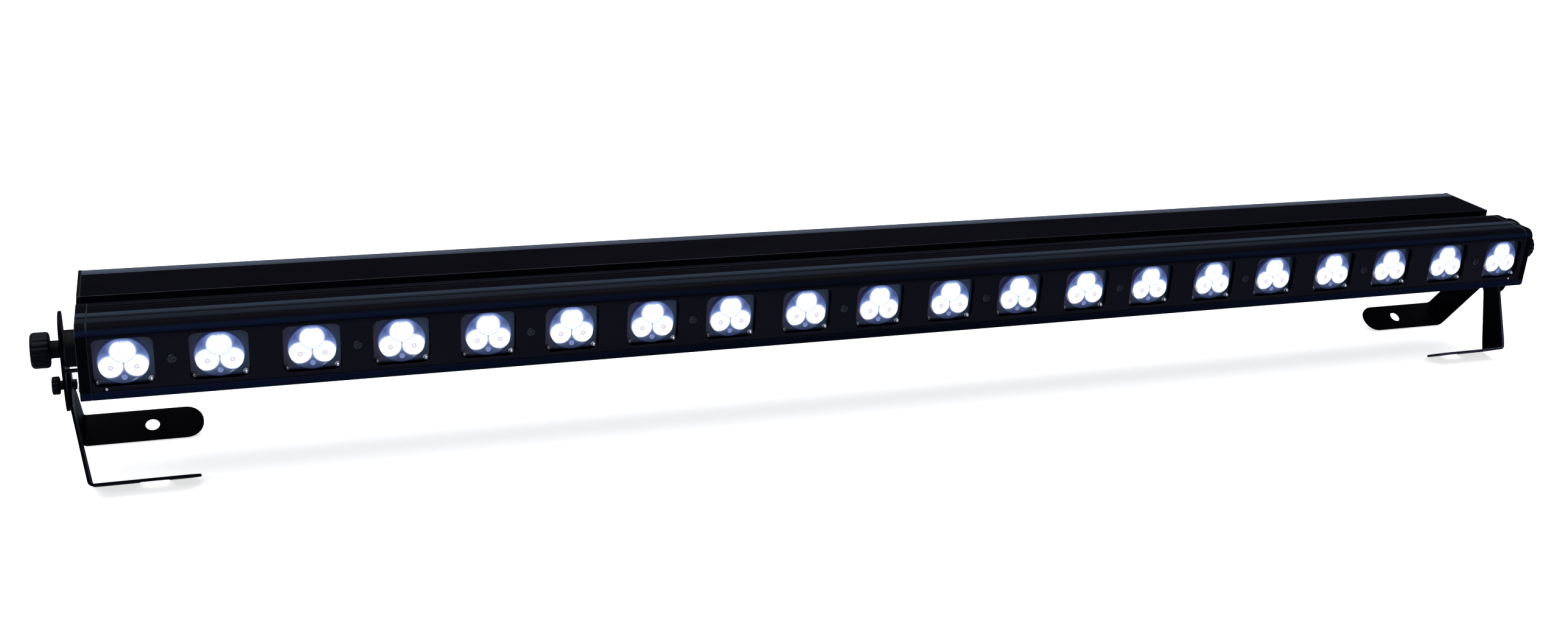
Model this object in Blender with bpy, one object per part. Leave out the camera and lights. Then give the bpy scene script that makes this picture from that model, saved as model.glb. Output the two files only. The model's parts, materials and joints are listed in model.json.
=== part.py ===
"""LED batten: a metre-long row of three-lens cells on two folding scissor brackets.

Lengths below are in millimetres. X runs along the batten, Y from its front to its back and
Z up. The section's own datum is the middle of the lens row; the finished model stands on
Z = 0 with its origin under the middle of its outer box.
"""
import math

import bmesh
import bpy
from mathutils import Matrix, Vector

MM = 0.001

# --- driving dimensions -------------------------------------------------------------------
CELLS = 20
CELL_PITCH = 50.0
HALF_LENGTH = 498.4
GAP = 0.3
PAST = 5.0  # how far a cutter or a blank runs past what it cuts

TOP_Z = 20.5
BOTTOM_Z = -23.5
FRONT_Y = 1.4
FRONT_BACK_Y = 39.4
REAR_FRONT_Y = 50.4
REAR_SEAM_Y = 88.0
REAR_BACK_Y = 97.0
SOCKET_FACE_Y = 99.4
HOUSING_WALL = 1.8
NOSE_R, CHANNEL_DEEP, GROOVE_DEEP = 6.0, 0.9, 0.5
SHEET_WALL = 1.5

FRONT_CAP = 6.0
REAR_CAP = 1.6
BEZEL_TOP = 14.6
BEZEL_BOTTOM = -18.0
BEZEL_THICK = 1.6
BEZEL_Y = FRONT_Y + 0.8
WINDOW_Z = -1.5
WINDOW_WIDE = 32.6
WINDOW_TALL = 28.5
WINDOW_CORNER = 4.5
LENS_Z = -1.3
LENS_HOLDER_R = 13.6
LENS_R = 6.1
LENS_CENTRES = ((-6.7, -3.2), (6.7, -3.2), (0.0, 5.4))
LENS_BASE = 3.6

BOARD_THICK = 1.6
BOARD_Z = (-14.0, 11.5)
SPREADER_THICK = 4.0
SPREADER_Z = (-15.0, 12.5)
RAIL_Z = (-15.0, 10.0)
SUPPLY_X, SUPPLY_Z = (-300.0, -60.0), (-19.0, 13.0)
DRIVER_X, DRIVER_Z = (60.0, 360.0), -15.0
INSIDE_Y = (54.0, 84.0)
DRIVER_PARTS = ((90, 62, 18, 12, 14), (150, 70, 30, 20, 9),
                (230, 64, 12, 12, 16), (300, 72, 40, 14, 8))

SOCKETS = (("power_inlet", -452.0), ("data_in", -412.0),
           ("data_out", 412.0), ("power_outlet", 452.0))
PANEL_Z = -1.5
FLANGE_WIDE, FLANGE_TALL, RIM_PROUD = 26.0, 31.0, 0.6
BARREL_R, BARREL_DEEP = 11.6, 18.0
RECESS_R, RECESS_DEEP = 10.2, 13.0
POWER_CORE_R, DATA_CORE_R = 5.0, 8.6
CORE_DROP = 1.2
PIN_CIRCLE, PIN_R, PIN_DROP = 4.8, 0.8, 3.0
PIN_HOLE_R, PIN_HOLE_DEEP = 1.2, 9.0
PIN_ANGLES = (30, 150, 270)
DISPLAY_X, DISPLAY_WIDE, DISPLAY_TALL = -28.0, 34.0, 15.0
DISPLAY_DEEP, DISPLAY_PROUD = 2.4, 0.4
CONTROL_X, CONTROL_TALL, CONTROL_BEHIND = (-50.0, 62.0), 26.0, 7.6
BUTTON_R, BUTTON_LIP = 3.6, 1.4
BUTTON_FIRST_X, BUTTON_SPACING = 8.0, 14.0

PIVOT_Y = 30.0
PIVOT_Z = -2.1
LOCK_FROM_PIVOT = (11.0, -26.5)
STUD_R = 3.0
STUD_HEAD_R, STUD_HEAD = 5.8, 3.5
STUD_IN_KNOB = 11.0
SPACER_R, SPACER_WIDE = 10.5, 7.0
KNOB_R, KNOB_GRIP, KNOB_FLUTE, KNOB_FLUTES = 10.2, 9.8, 0.7, 18
COLLAR_R, COLLAR_LONG = 5.0, 5.0
BOLT_R = 1.5
SCREW_R, SCREW_GRIP, SCREW_FLUTE, SCREW_FLUTES = 5.3, 4.4, 0.5, 10
NECK_R, NECK_LONG = 2.7, 2.4
NUT_R, NUT_THICK = 3.1, 2.3
STOP_PIN_R, STOP_PIN_DROP = 1.25, 13.5
SHEET = 1.6
MAIN_ANGLE = 35.0
MAIN_OFFSET = 2.7
MAIN_WIDTH = 21.0
MAIN_LENGTH = 96.6
MAIN_BEND = 44.0
MAIN_LEAN = 3.5
FRONT_ANGLE = -28.0
FRONT_WIDTH = 22.0
FRONT_TOP_WIDTH = 17.0
FRONT_BEND = 13.0
FRONT_LEAN = 8.5
REAR_FOOT_TIP = 434.9
FRONT_FOOT_TIP = 438.9
FOOT_SHOULDER = 470.0
FOOT_BEND_R = 3.2
CLAMP_X = 464.5
CLAMP_HOLE_R = 4.2
CLAMP_SLOT_WIDE = 16.0
CLAMP_SLOT_DEEP = 12.0
TIP_ROUND = 0.98  # of a strip's half width, which leaves a short flat at its tip

# The oversize sheets and outlines that each bracket is the common part of.
BLANK_X = (400.0, 600.0)
BLANK_HALF = 80.0
BLANK_Z = (-150.0, 60.0)

# --- places worked out from them ----------------------------------------------------------
SPACER_IN = HALF_LENGTH + GAP
MAIN_OUTER = SPACER_IN + SPACER_WIDE + GAP + SHEET
LEG_OUTER = MAIN_OUTER - SHEET - GAP
KNOB_IN = MAIN_OUTER + GAP
main_turn = math.radians(MAIN_ANGLE)
front_turn = math.radians(FRONT_ANGLE)
FLOOR_DROP = (MAIN_LENGTH * math.cos(main_turn)
              + (MAIN_WIDTH / 2 - MAIN_OFFSET) * math.sin(main_turn))
FRONT_LENGTH = ((FLOOR_DROP + LOCK_FROM_PIVOT[1] + FRONT_WIDTH / 2 * math.sin(front_turn))
                / math.cos(front_turn))
ORIGIN_Y = (FRONT_Y + SOCKET_FACE_Y) / 2
ORIGIN_Z = PIVOT_Z - FLOOR_DROP
PIVOT = Vector((0, PIVOT_Y - ORIGIN_Y, PIVOT_Z - ORIGIN_Z))
LOCK = PIVOT + Vector((0, *LOCK_FROM_PIVOT))


def section(y, z):
    """A point of the batten's section, from its datum to the model's frame."""
    return (y - ORIGIN_Y, z - ORIGIN_Z)


# --- scene and collections ----------------------------------------------------------------
for old in list(bpy.data.objects):
    bpy.data.objects.remove(old, do_unlink=True)

batten = bpy.data.collections.new("led_strip_batten")
cutters = bpy.data.collections.new("cutters")
bpy.context.scene.collection.children.link(batten)
bpy.context.scene.collection.children.link(cutters)


# --- materials ----------------------------------------------------------------------------
def make_material(name, color, roughness, metallic=0.0, alpha=1.0):
    material = bpy.data.materials.new(name)
    material.use_nodes = True
    shader = material.node_tree.nodes["Principled BSDF"]
    shader.inputs["Base Color"].default_value = (*color, 1.0)
    shader.inputs["Roughness"].default_value = roughness
    shader.inputs["Metallic"].default_value = metallic
    shader.inputs["Alpha"].default_value = alpha
    return material


MATERIALS = {
    "anodised_black": make_material("anodised_black", (0.018, 0.018, 0.024), 0.38, 0.6),
    "painted_black": make_material("painted_black", (0.012, 0.012, 0.016), 0.5),
    "bracket_black": make_material("bracket_black", (0.015, 0.015, 0.018), 0.45, 0.3),
    "moulded_black": make_material("moulded_black", (0.016, 0.016, 0.018), 0.55),
    "lens_acrylic": make_material("lens_acrylic", (0.92, 0.94, 1.0), 0.08),
    "window_acrylic": make_material("window_acrylic", (0.03, 0.03, 0.04), 0.1),
    "steel": make_material("steel", (0.07, 0.07, 0.08), 0.35, 1.0),
    "aluminium": make_material("aluminium", (0.7, 0.71, 0.73), 0.35, 1.0),
    "board_black": make_material("board_black", (0.012, 0.013, 0.02), 0.4),
    "board_green": make_material("board_green", (0.02, 0.16, 0.07), 0.45),
    "button_grey": make_material("button_grey", (0.1, 0.1, 0.11), 0.6),
}


# --- outlines -----------------------------------------------------------------------------
def rounded(corners, steps=4):
    """A closed outline from corners (a, b, radius), each rounded by an arc."""
    points = []
    count = len(corners)
    for index, (a, b, radius) in enumerate(corners):
        here = Vector((a, b))
        before = Vector(corners[index - 1][:2])
        after = Vector(corners[(index + 1) % count][:2])
        if radius == 0:
            points.append(tuple(here))
            continue
        to_before = (before - here).normalized()
        to_after = (after - here).normalized()
        half = to_before.angle(to_after) / 2
        reach = radius / math.tan(half)
        centre = here + (to_before + to_after).normalized() * radius / math.sin(half)
        start = here + to_before * reach - centre
        end = here + to_after * reach - centre
        sweep = start.angle_signed(end)
        first = math.atan2(start.y, start.x)
        for step in range(steps + 1):
            angle = first - sweep * step / steps
            points.append((centre.x + radius * math.cos(angle),
                           centre.y + radius * math.sin(angle)))
    return points


def rectangle(a0, a1, b0, b1, radius=0.0, steps=3):
    return rounded([(a0, b0, radius), (a1, b0, radius), (a1, b1, radius), (a0, b1, radius)],
                   steps)


def circle(a, b, radius, sides=24):
    return [(a + radius * math.cos(2 * math.pi * k / sides),
             b + radius * math.sin(2 * math.pi * k / sides)) for k in range(sides)]


# --- solids -------------------------------------------------------------------------------
ALONG_X = Matrix(((0, 0, 1, 0), (1, 0, 0, 0), (0, 1, 0, 0), (0, 0, 0, 1)))
ALONG_Y = Matrix(((1, 0, 0, 0), (0, 0, -1, 0), (0, 1, 0, 0), (0, 0, 0, 1)))
ALONG_Z = Matrix.Identity(4)


def outline_mesh(outline, low, high, direction, bevel=0.0):
    """A flat outline between two stations of a direction, in millimetres, as a mesh.

    Along X the outline is (y, z), along Y it is (x, z), along Z it is (x, y).
    """
    curve = bpy.data.curves.new("outline", "CURVE")
    curve.dimensions = "2D"
    curve.fill_mode = "BOTH"
    curve.extrude = (high - low) / 2 * MM - bevel * MM
    curve.bevel_depth = bevel * MM
    curve.bevel_resolution = 0
    curve.offset = -bevel * MM
    spline = curve.splines.new("POLY")
    spline.points.add(len(outline) - 1)
    for point, (a, b) in zip(spline.points, outline):
        point.co = (a * MM, b * MM, 0, 1)
    spline.use_cyclic_u = True
    holder = bpy.data.objects.new("outline", curve)
    cutters.objects.link(holder)
    bpy.context.view_layer.update()
    graph = bpy.context.evaluated_depsgraph_get()
    mesh = bpy.data.meshes.new_from_object(holder.evaluated_get(graph))
    bpy.data.objects.remove(holder, do_unlink=True)
    bpy.data.curves.remove(curve)
    middle = (low + high) / 2 * MM
    if direction is ALONG_Y:
        middle = -middle
    mesh.transform(direction @ Matrix.Translation((0, 0, middle)))
    shell = bmesh.new()
    shell.from_mesh(mesh)
    bmesh.ops.remove_doubles(shell, verts=shell.verts, dist=0.000001)
    bmesh.ops.recalc_face_normals(shell, faces=shell.faces)
    shell.to_mesh(mesh)
    shell.free()
    return mesh


def place(name, mesh, material, at=(0, 0, 0), turn=0.0):
    """Put a mesh in the model as a named piece, at a point in metres, turned about X."""
    mesh.name = name
    mesh.materials.clear()
    mesh.materials.append(MATERIALS[material])
    piece = bpy.data.objects.new(name, mesh)
    piece.location = at
    piece.rotation_euler = (turn, 0, 0)
    batten.objects.link(piece)
    return crisp(piece)


def crisp(piece):
    """Smooth the curved faces and keep the edges between flat ones sharp."""
    piece.data.shade_smooth()
    piece.data.set_sharp_from_angle(angle=math.radians(30))
    return piece


def cutter(mesh, at=(0, 0, 0), turn=0.0):
    tool = bpy.data.objects.new("cutter", mesh)
    tool.location = at
    tool.rotation_euler = (turn, 0, 0)
    tool.hide_render = True
    tool.display_type = "WIRE"
    cutters.objects.link(tool)
    return tool


def combine(piece, mesh, operation="DIFFERENCE"):
    """Cut, join or intersect a piece with a mesh that shares its origin and turn."""
    tool = cutter(mesh, piece.location, piece.rotation_euler.x)
    step = piece.modifiers.new(operation.lower(), "BOOLEAN")
    step.operation = operation
    step.object = tool
    step.solver = "EXACT"
    return piece


def settle(piece):
    """Apply a piece's modifiers, so that its mesh can be shared or joined again."""
    bpy.context.view_layer.update()
    graph = bpy.context.evaluated_depsgraph_get()
    mesh = bpy.data.meshes.new_from_object(piece.evaluated_get(graph))
    piece.modifiers.clear()
    piece.data = mesh
    for tool in list(cutters.objects):
        bpy.data.objects.remove(tool, do_unlink=True)
    return crisp(piece)


def shifted(outline):
    """An outline given on the batten's section, moved to the model's frame."""
    return [section(a, b) for a, b in outline]


# --- front housing and bezel --------------------------------------------------------------
def front_skin():
    """The outer section of the front housing: nose, ribbed top, flat back and foot lip."""
    return rounded([
        (FRONT_Y, BEZEL_BOTTOM, 0), (FRONT_Y, BOTTOM_Z, 3.0),
        (FRONT_BACK_Y, BOTTOM_Z, 1.0), (FRONT_BACK_Y, TOP_Z, 0.8),
        (34.5, TOP_Z, 0), (33.9, TOP_Z - CHANNEL_DEEP, 0), (24.1, TOP_Z - CHANNEL_DEEP, 0),
        (23.5, TOP_Z, 0), (16.9, TOP_Z, 0), (16.6, TOP_Z - GROOVE_DEEP, 0),
        (15.7, TOP_Z - GROOVE_DEEP, 0), (15.4, TOP_Z, 0), (FRONT_Y, TOP_Z, NOSE_R),
        (FRONT_Y, BEZEL_TOP, 0)], 5)


def make_front():
    wall = HOUSING_WALL
    skin = front_skin()
    front, back = FRONT_Y + wall, FRONT_BACK_Y - wall
    low, high = BOTTOM_Z + wall, TOP_Z - wall - CHANNEL_DEEP
    hollow = [(BEZEL_Y + BEZEL_THICK + GAP, BEZEL_TOP), (FRONT_Y + NOSE_R + 1.0, high),
              (back, high), (back, low), (front + 1.2, low), (front, low + 1.2),
              (front, BEZEL_BOTTOM)]
    reach = HALF_LENGTH - FRONT_CAP - GAP
    mesh = outline_mesh(shifted(skin + hollow), -reach, reach, ALONG_X)
    place("front_housing", mesh, "anodised_black")

    panel = rectangle(-reach, reach, BEZEL_BOTTOM + GAP, BEZEL_TOP - GAP)
    mesh = outline_mesh([(x, z - ORIGIN_Z) for x, z in panel], BEZEL_Y - ORIGIN_Y,
                        BEZEL_Y + BEZEL_THICK - ORIGIN_Y, ALONG_Y)
    bezel = place("front_bezel", mesh, "anodised_black")
    for cell in range(CELLS):
        x = cell_x(cell)
        window = rectangle(x - WINDOW_WIDE / 2, x + WINDOW_WIDE / 2,
                           WINDOW_Z - WINDOW_TALL / 2 - ORIGIN_Z,
                           WINDOW_Z + WINDOW_TALL / 2 - ORIGIN_Z, WINDOW_CORNER)
        combine(bezel, outline_mesh(window, BEZEL_Y - PAST - ORIGIN_Y,
                                    BEZEL_Y + PAST - ORIGIN_Y, ALONG_Y))
    settle(bezel)


def cell_x(cell):
    return (cell - (CELLS - 1) / 2) * CELL_PITCH


def make_lenses():
    """One moulded three-lens module per cell, all sharing one mesh."""
    holder_y = BEZEL_Y + BEZEL_THICK + GAP
    disc = outline_mesh(circle(0, 0, LENS_HOLDER_R, 20), holder_y, holder_y + LENS_BASE,
                        ALONG_Y)
    height = LENS_Z - ORIGIN_Z
    first = place("lens_module_01", disc, "lens_acrylic",
                  (cell_x(0) * MM, -ORIGIN_Y * MM, height * MM))
    for x, z in LENS_CENTRES:
        dome = outline_mesh(circle(x, z, LENS_R, 12), BEZEL_Y + GAP, holder_y + 2, ALONG_Y, 0.7)
        combine(first, dome, "UNION")
    settle(first)
    for cell in range(1, CELLS):
        copy = bpy.data.objects.new(f"lens_module_{cell + 1:02d}", first.data)
        copy.location = (cell_x(cell) * MM, -ORIGIN_Y * MM, height * MM)
        batten.objects.link(copy)


def side_span(side, low, high):
    """Stations along X for a side (-1 left, 1 right), low nearer the middle."""
    return (low, high) if side > 0 else (-high, -low)


def block(name, material, x, y, z, bevel=0.0):
    """A bevelled box from its (low, high) spans along the section's X, Y and Z."""
    y0, z0 = section(y[0], z[0])
    y1, z1 = section(y[1], z[1])
    mesh = outline_mesh(rectangle(x[0], x[1], z0, z1), y0, y1, ALONG_Y, bevel)
    return place(name, mesh, material)


def make_inside():
    """LED boards, heat spreader, joining rail, power supply and driver board."""
    reach = HALF_LENGTH - FRONT_CAP - 2 * GAP
    board_y = BEZEL_Y + BEZEL_THICK + LENS_BASE + 2 * GAP
    for side, name in ((-1, "left"), (1, "right")):
        block(f"led_board_{name}", "board_black", side_span(side, GAP, reach),
              (board_y, board_y + BOARD_THICK), BOARD_Z)
    spreader_y = board_y + BOARD_THICK + GAP
    block("heat_spreader", "aluminium", (-reach, reach),
          (spreader_y, spreader_y + SPREADER_THICK), SPREADER_Z, 0.5)
    rail = rectangle(FRONT_BACK_Y + GAP, REAR_FRONT_Y - GAP, *RAIL_Z)
    place("joining_rail", outline_mesh(shifted(rail), -reach, reach, ALONG_X),
          "anodised_black")

    block("power_supply", "aluminium", SUPPLY_X, INSIDE_Y, SUPPLY_Z, 1.0)
    board_top = DRIVER_Z + BOARD_THICK
    board = block("driver_board", "board_green", DRIVER_X, INSIDE_Y, (DRIVER_Z, board_top))
    for x, y, wide, deep, tall in DRIVER_PARTS:
        mesh = outline_mesh(rectangle(x - wide / 2, x + wide / 2, board_top - 0.6 - ORIGIN_Z,
                                      board_top + tall - ORIGIN_Z),
                            y - deep / 2 - ORIGIN_Y, y + deep / 2 - ORIGIN_Y, ALONG_Y)
        combine(board, mesh, "UNION")
    settle(board)


# --- rear box -----------------------------------------------------------------------------
def rear_corners(inset, seam):
    """The rear box's outer section forward of the seam, pulled in by inset."""
    low, high = BOTTOM_Z + inset, TOP_Z - inset
    return [(seam, high), (REAR_FRONT_Y + inset, high), (REAR_FRONT_Y + inset, low), (seam, low)]


def make_rear():
    reach = HALF_LENGTH - REAR_CAP - GAP
    outside = rear_corners(0, REAR_SEAM_Y)
    inside = rear_corners(SHEET_WALL, REAR_SEAM_Y)
    mesh = outline_mesh(shifted(outside + inside[::-1]), -reach, reach, ALONG_X)
    place("rear_box", mesh, "painted_black")

    seam = REAR_SEAM_Y + GAP
    low, high = BOTTOM_Z, TOP_Z
    wall = SHEET_WALL
    skin = rounded([(seam, high, 0), (REAR_BACK_Y, high - 0.6, 1.6),
                    (REAR_BACK_Y, low, 1.6), (seam, low, 0),
                    (seam, low + wall, 0), (REAR_BACK_Y - wall, low + wall, 0),
                    (REAR_BACK_Y - wall, high - wall - 0.5, 0), (seam, high - wall, 0)], 3)
    mesh = outline_mesh(shifted(skin), -reach, reach, ALONG_X)
    cover = place("rear_cover", mesh, "anodised_black")
    span = (REAR_BACK_Y - PAST - ORIGIN_Y, REAR_BACK_Y + PAST - ORIGIN_Y)
    for name, x in SOCKETS:
        combine(cover, outline_mesh(circle(x, PANEL_Z - ORIGIN_Z, BARREL_R + GAP, 20), *span,
                                    ALONG_Y))
    combine(cover, outline_mesh(
        rectangle(DISPLAY_X - DISPLAY_WIDE / 2, DISPLAY_X + DISPLAY_WIDE / 2,
                  PANEL_Z - DISPLAY_TALL / 2 - ORIGIN_Z, PANEL_Z + DISPLAY_TALL / 2 - ORIGIN_Z),
        *span, ALONG_Y))
    for index in range(4):
        combine(cover, outline_mesh(circle(button_x(index), PANEL_Z - ORIGIN_Z,
                                           BUTTON_R + GAP, 16), *span, ALONG_Y))
    settle(cover)


def button_x(index):
    return BUTTON_FIRST_X + index * BUTTON_SPACING


def make_sockets():
    """Panel sockets: a flange outside the cover, a round barrel behind it and a recess."""
    face = SOCKET_FACE_Y - ORIGIN_Y
    back = REAR_BACK_Y - BARREL_DEEP - ORIGIN_Y
    floor = face - RECESS_DEEP
    height = PANEL_Z - ORIGIN_Z
    for name, x in SOCKETS:
        outline = rectangle(x - FLANGE_WIDE / 2, x + FLANGE_WIDE / 2, height - FLANGE_TALL / 2,
                            height + FLANGE_TALL / 2, 2.5)
        flange = outline_mesh(outline, REAR_BACK_Y + GAP - ORIGIN_Y, face - RIM_PROUD,
                              ALONG_Y)
        socket = place(name, flange, "moulded_black")

        def part(x, z, radius, sides, low, high, operation):
            combine(socket, outline_mesh(circle(x, z, radius, sides), low, high, ALONG_Y),
                    operation)

        part(x, height, BARREL_R, 20, back, face, "UNION")
        part(x, height, RECESS_R, 20, floor, face + PAST, "DIFFERENCE")
        if name.startswith("power"):
            part(x, height, POWER_CORE_R, 16, floor - 1, face - CORE_DROP, "UNION")
        elif name == "data_out":
            part(x, height, DATA_CORE_R, 16, floor - 1, face - CORE_DROP, "UNION")
        for angle in PIN_ANGLES:
            pin_x = x + PIN_CIRCLE * math.cos(math.radians(angle))
            pin_z = height + PIN_CIRCLE * math.sin(math.radians(angle))
            if name == "data_in":
                part(pin_x, pin_z, PIN_R, 8, floor - 1, face - PIN_DROP, "UNION")
            elif name == "data_out":
                part(pin_x, pin_z, PIN_HOLE_R, 8, face - PIN_HOLE_DEEP, face, "DIFFERENCE")
        settle(socket)


def make_controls():
    """Display window, control board and four push buttons in the rear cover."""
    wide = DISPLAY_WIDE / 2 - GAP
    tall = DISPLAY_TALL / 2 - GAP
    block("display_window", "window_acrylic", (DISPLAY_X - wide, DISPLAY_X + wide),
          (REAR_BACK_Y - DISPLAY_DEEP, REAR_BACK_Y + DISPLAY_PROUD),
          (PANEL_Z - tall, PANEL_Z + tall), 0.3)
    board_y = REAR_BACK_Y - CONTROL_BEHIND
    block("control_board", "board_green", CONTROL_X, (board_y, board_y + BOARD_THICK),
          (PANEL_Z - CONTROL_TALL / 2, PANEL_Z + CONTROL_TALL / 2))
    for index in range(4):
        cap = outline_mesh(circle(0, 0, BUTTON_R, 16), -2.6, 1.2, ALONG_Y, 0.3)
        button = place(f"menu_button_{index + 1}", cap, "button_grey",
                       Vector((button_x(index), *section(REAR_BACK_Y, PANEL_Z))) * MM)
        combine(button, outline_mesh(circle(0, 0, BUTTON_R + BUTTON_LIP, 16), -4.0, -2.2,
                                     ALONG_Y), "UNION")
        settle(button)


# --- ends ---------------------------------------------------------------------------------
def make_ends():
    cap_skin = rounded([(FRONT_Y, BOTTOM_Z, 3.0), (FRONT_BACK_Y, BOTTOM_Z, 1.0),
                        (FRONT_BACK_Y, TOP_Z, 0.8), (FRONT_Y, TOP_Z, NOSE_R)], 5)
    plate_skin = rounded([(REAR_FRONT_Y, BOTTOM_Z, 0.8), (REAR_BACK_Y, BOTTOM_Z, 1.6),
                          (REAR_BACK_Y, TOP_Z - 0.3, 1.6), (REAR_FRONT_Y, TOP_Z, 0.8)], 3)
    for side, name in ((-1, "left"), (1, "right")):
        span = side_span(side, HALF_LENGTH - FRONT_CAP, HALF_LENGTH)
        cap = place(f"front_end_cap_{name}", outline_mesh(shifted(cap_skin), *span, ALONG_X),
                    "moulded_black")
        hole = circle(PIVOT.y, PIVOT.z, STUD_R + GAP, 16)
        combine(cap, outline_mesh(hole, *side_span(side, HALF_LENGTH - FRONT_CAP - PAST,
                                                    HALF_LENGTH + PAST), ALONG_X))
        settle(cap)
        span = side_span(side, HALF_LENGTH - REAR_CAP, HALF_LENGTH)
        place(f"rear_end_plate_{name}", outline_mesh(shifted(plate_skin), *span, ALONG_X),
              "painted_black")


# --- brackets -----------------------------------------------------------------------------
def bent_strip(outer, bend, length, lean, tip):
    """A wide sheet bent like a bracket: a flat top, a leg leaning inwards, a level foot.

    The outline is (x, z), so the sheet is built along Y.
    """
    slide = math.tan(math.radians(lean)) * (length - bend)
    foot = outer - slide
    outline = rounded([
        (outer, BLANK_Z[1], 0), (outer, -bend, 0), (foot, -length, FOOT_BEND_R),
        (tip - PAST, -length, 0), (tip - PAST, -length + SHEET, 0),
        (foot - SHEET, -length + SHEET, FOOT_BEND_R - SHEET),
        (outer - SHEET, -bend, 0), (outer - SHEET, BLANK_Z[1], 0)], 4)
    return outline_mesh(outline, -BLANK_HALF, BLANK_HALF, ALONG_Y)


def mirrored(mesh):
    """The same sheet on the batten's other end."""
    mesh.transform(Matrix.Scale(-1, 4, (1, 0, 0)))
    mesh.flip_normals()
    return mesh


def sided(side, mesh):
    return mesh if side > 0 else mirrored(mesh)


def turned(point, turn):
    """A point of the section about an axis, in a strip's own turned frame."""
    y, z = point
    return (y * math.cos(turn) + z * math.sin(turn), z * math.cos(turn) - y * math.sin(turn))


def foot_plan(tip, middle, half):
    """What a bent strip keeps, from above: all of its leg, and a foot with a round tip."""
    wide, far = BLANK_HALF + PAST, BLANK_X[1]
    low, high = middle - half, middle + half
    return rounded([(far, -wide, 0), (far, wide, 0), (FOOT_SHOULDER, wide, 0),
                    (FOOT_SHOULDER, high, 0), (tip, high, half * TIP_ROUND),
                    (tip, low, half * TIP_ROUND), (FOOT_SHOULDER, low, 0),
                    (FOOT_SHOULDER, -wide, 0)], 8)


def make_main_bracket(side, name):
    """Upper arm round the tilt pivot, a lobe for the lock screw and the swept rear leg."""
    low = MAIN_LENGTH + PAST
    half = MAIN_WIDTH / 2
    crotch_z = LOCK_FROM_PIVOT[1] - 13.4
    front_low = MAIN_OFFSET - half
    along = [turned(point, main_turn) for point in
             ((-10.5, 20.5), (12.5, 20.5), (16.5, -1.0))]
    lobe = [turned(point, main_turn) for point in ((-2.4, crotch_z), (-10.5, -10.0))]
    crotch_y = front_edge_y(crotch_z)
    crotch = turned((crotch_y, crotch_z), main_turn)
    outline = rounded([
        (*along[0], 10.4), (*along[1], 10.4), (*along[2], 12.0),
        (MAIN_OFFSET + half, -low, 0), (front_low, -low, 0),
        (*crotch, 4.0), (*lobe[0], 12.0), (*lobe[1], 8.0)], 6)
    sheet = bent_strip(MAIN_OUTER, MAIN_BEND, MAIN_LENGTH, MAIN_LEAN, REAR_FOOT_TIP)
    bracket = place(f"main_bracket_{name}", sided(side, sheet), "bracket_black", PIVOT * MM,
                    main_turn)
    combine(bracket, outline_mesh(outline, *side_span(side, *BLANK_X), ALONG_X), "INTERSECT")
    plan = foot_plan(REAR_FOOT_TIP, MAIN_OFFSET, half)
    combine(bracket, sided(side, outline_mesh(plan, *BLANK_Z, ALONG_Z)), "INTERSECT")
    span = side_span(side, MAIN_OUTER - PAST, MAIN_OUTER + PAST)
    combine(bracket, outline_mesh(circle(0, 0, STUD_R + GAP, 16), *span, ALONG_X))
    lock = turned(LOCK_FROM_PIVOT, main_turn)
    combine(bracket, outline_mesh(circle(*lock, BOLT_R + GAP, 12), *span, ALONG_X))
    bore = circle(side * CLAMP_X, MAIN_OFFSET, CLAMP_HOLE_R, 20)
    combine(bracket, outline_mesh(bore, -MAIN_LENGTH - PAST, -MAIN_LENGTH + PAST, ALONG_Z))
    settle(bracket)


def front_edge_y(z):
    """Where the rear leg's front edge crosses a height below the tilt pivot."""
    across = MAIN_OFFSET - MAIN_WIDTH / 2
    down = (-z + across * math.sin(main_turn)) / math.cos(main_turn)
    return across * math.cos(main_turn) + down * math.sin(main_turn)


def make_front_leg(side, name):
    """A tapered strip that hangs on the lock screw, with an open slot in its foot."""
    top = FRONT_TOP_WIDTH / 2
    half = FRONT_WIDTH / 2
    low = FRONT_LENGTH + PAST
    outline = rounded([(-top, top, top * TIP_ROUND), (top, top, top * TIP_ROUND),
                       (top, -FRONT_BEND, 0), (half, -FRONT_LENGTH + 8, 0), (half, -low, 0),
                       (-half, -low, 0), (-half, -FRONT_LENGTH + 8, 0),
                       (-top, -FRONT_BEND, 0)], 6)
    sheet = bent_strip(LEG_OUTER, FRONT_BEND, FRONT_LENGTH, FRONT_LEAN, FRONT_FOOT_TIP)
    leg = place(f"front_leg_{name}", sided(side, sheet), "bracket_black", LOCK * MM,
                front_turn)
    combine(leg, outline_mesh(outline, *side_span(side, *BLANK_X), ALONG_X), "INTERSECT")
    plan = foot_plan(FRONT_FOOT_TIP, 0, half)
    combine(leg, sided(side, outline_mesh(plan, *BLANK_Z, ALONG_Z)), "INTERSECT")
    span = side_span(side, LEG_OUTER - PAST, LEG_OUTER + PAST)
    combine(leg, outline_mesh(circle(0, 0, BOLT_R + GAP, 12), *span, ALONG_X))
    slot = rectangle(side * CLAMP_X - CLAMP_SLOT_WIDE / 2, side * CLAMP_X + CLAMP_SLOT_WIDE / 2,
                     half - CLAMP_SLOT_DEEP, half + PAST, 3.0)
    combine(leg, outline_mesh(slot, -FRONT_LENGTH - PAST, -FRONT_LENGTH + PAST, ALONG_Z))
    settle(leg)


def fluted(radius, depth, flutes):
    """A knob's grip: a round outline with flutes cut into it."""
    points = []
    for index in range(flutes * 4):
        angle = 2 * math.pi * index / (flutes * 4)
        reach = radius if index % 4 in (0, 1) else radius - depth
        points.append((reach * math.cos(angle), reach * math.sin(angle)))
    return points


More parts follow.
